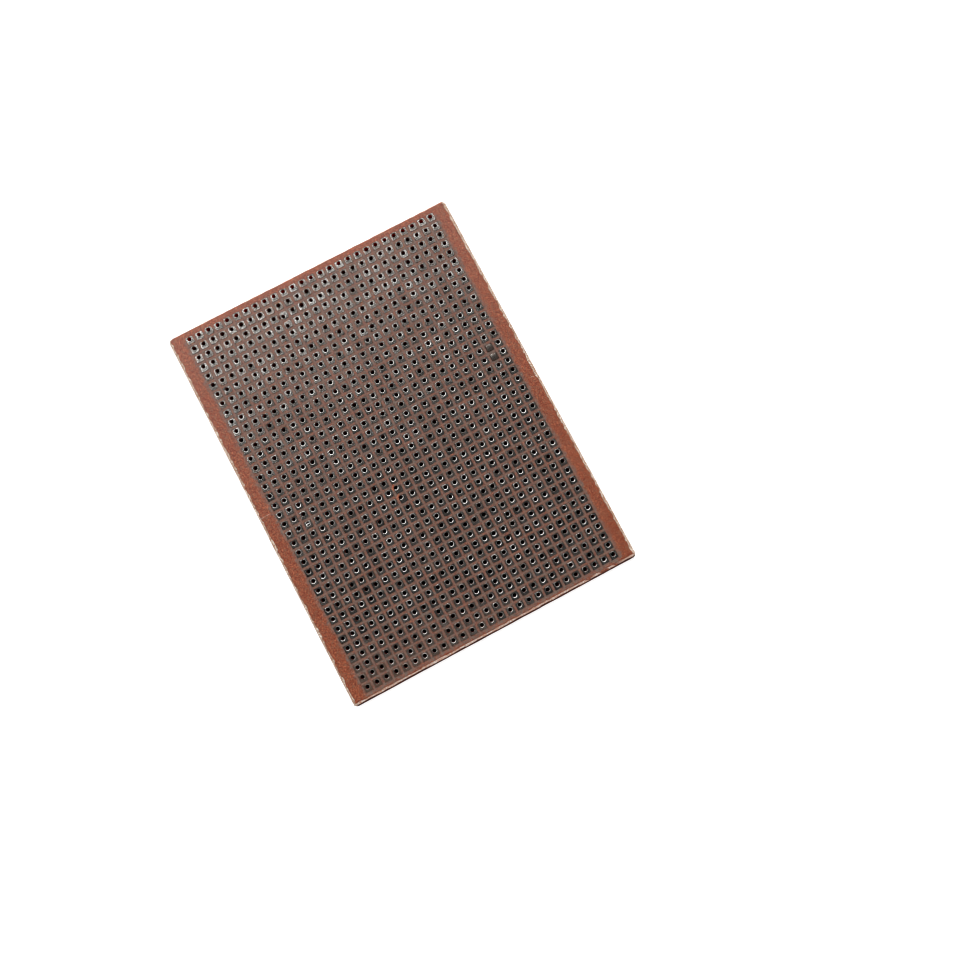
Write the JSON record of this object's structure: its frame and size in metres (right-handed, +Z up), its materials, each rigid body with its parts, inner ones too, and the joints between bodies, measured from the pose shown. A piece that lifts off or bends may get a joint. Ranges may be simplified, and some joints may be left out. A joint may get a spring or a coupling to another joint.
{
  "type": "prototype board",
  "caption": "Flat rectangular perforated prototype board of brown phenolic paper, with square solder-coated copper lands around its lead holes on one face and a bare underside.",
  "frame": {"origin": "middle of the board's underside", "axes": "+X across the columns of holes, +Y along the rows towards the far end (the narrow blank margin), +Z up to the copper side"},
  "size_m": [0.076, 0.0994, 0.0018],
  "materials": {
    "phenolic_paper": "satin resin-faced phenolic paper, red-brown, with pale snapped edges",
    "copper_foil": "bare rolled copper foil, seen only at its edges",
    "solder": "hot-dipped tin-lead solder, dull grey with bright lips"
  },
  "bodies": {
    "root": {"laminate": "phenolic_paper", "copper_lands_column_01": "copper_foil", "copper_lands_column_02": "copper_foil", "copper_lands_column_03": "copper_foil", "copper_lands_column_04": "copper_foil", "copper_lands_column_05": "copper_foil", "copper_lands_column_06": "copper_foil", "copper_lands_column_07": "copper_foil", "copper_lands_column_08": "copper_foil", "copper_lands_column_09": "copper_foil", "copper_lands_column_10": "copper_foil", "copper_lands_column_11": "copper_foil", "copper_lands_column_12": "copper_foil", "copper_lands_column_13": "copper_foil", "copper_lands_column_14": "copper_foil", "copper_lands_column_15": "copper_foil", "copper_lands_column_16": "copper_foil", "copper_lands_column_17": "copper_foil", "copper_lands_column_18": "copper_foil", "copper_lands_column_19": "copper_foil", "copper_lands_column_20": "copper_foil", "copper_lands_column_21": "copper_foil", "copper_lands_column_22": "copper_foil", "copper_lands_column_23": "copper_foil", "copper_lands_column_24": "copper_foil", "copper_lands_column_25": "copper_foil", "copper_lands_column_26": "copper_foil", "copper_lands_column_27": "copper_foil", "solder_coats_column_01": "solder", "solder_coats_column_02": "solder", "solder_coats_column_03": "solder", "solder_coats_column_04": "solder", "solder_coats_column_05": "solder", "solder_coats_column_06": "solder", "solder_coats_column_07": "solder", "solder_coats_column_08": "solder", "solder_coats_column_09": "solder", "solder_coats_column_10": "solder", "solder_coats_column_11": "solder", "solder_coats_column_12": "solder", "solder_coats_column_13": "solder", "solder_coats_column_14": "solder", "solder_coats_column_15": "solder", "solder_coats_column_16": "solder", "solder_coats_column_17": "solder", "solder_coats_column_18": "solder", "solder_coats_column_19": "solder", "solder_coats_column_20": "solder", "solder_coats_column_21": "solder", "solder_coats_column_22": "solder", "solder_coats_column_23": "solder", "solder_coats_column_24": "solder", "solder_coats_column_25": "solder", "solder_coats_column_26": "solder", "solder_coats_column_27": "solder", "solder_plugs": "solder"}
  },
  "joints": []
}
